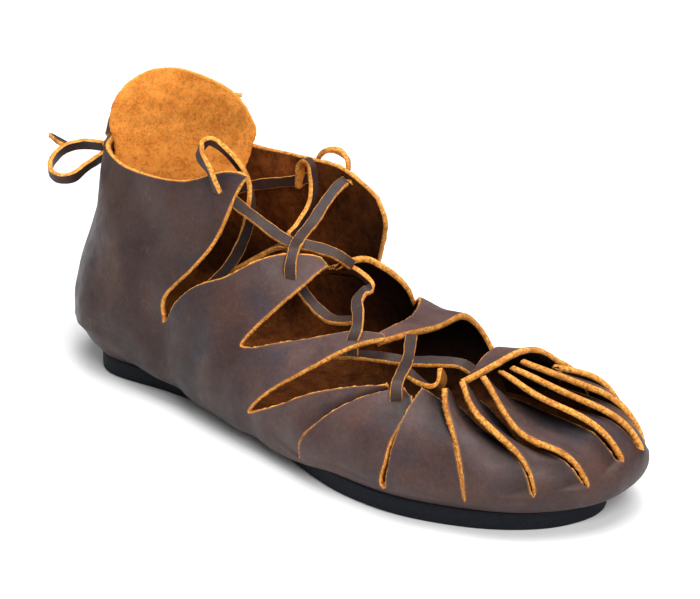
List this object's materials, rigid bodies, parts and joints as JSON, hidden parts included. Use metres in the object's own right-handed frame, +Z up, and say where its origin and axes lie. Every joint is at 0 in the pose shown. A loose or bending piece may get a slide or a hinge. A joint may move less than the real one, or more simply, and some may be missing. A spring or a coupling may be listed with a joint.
{
  "type": "laced leather sandal",
  "caption": "One right-foot sandal folded from a single hide, its slit tabs laced over the instep with flat leather thongs, with a round heel tab and a flat foam sole.",
  "frame": {"origin": "on the ground, under the middle of the sole's length and on the heel's middle line", "axes": "+X to the toe, +Y to the inner side of the foot, +Z up; the shoe is for the right foot"},
  "size_m": [0.3176, 0.1074, 0.126],
  "materials": {
    "oiled_leather": "satin, oiled grain side",
    "flesh_leather": "matt suede nap, flesh side",
    "lace_leather": "matt, cut thong",
    "foam_rubber": "matt, fine speckle"
  },
  "bodies": {
    "root": {"outsole": "foam_rubber", "upper": "oiled_leather", "heel_tab": "flesh_leather", "lace_instep": "lace_leather", "lace_midfoot": "lace_leather", "lace_toe": "lace_leather", "lace_collar_bar": "lace_leather", "lace_outer_ear_loop": "lace_leather", "lace_inner_ear_loop": "lace_leather", "lace_inner_strand": "lace_leather", "lace_bow_knot": "lace_leather", "lace_bow_outer_loop": "lace_leather", "lace_bow_inner_loop": "lace_leather", "lace_bow_outer_end": "lace_leather", "lace_bow_inner_end": "lace_leather"}
  },
  "joints": []
}
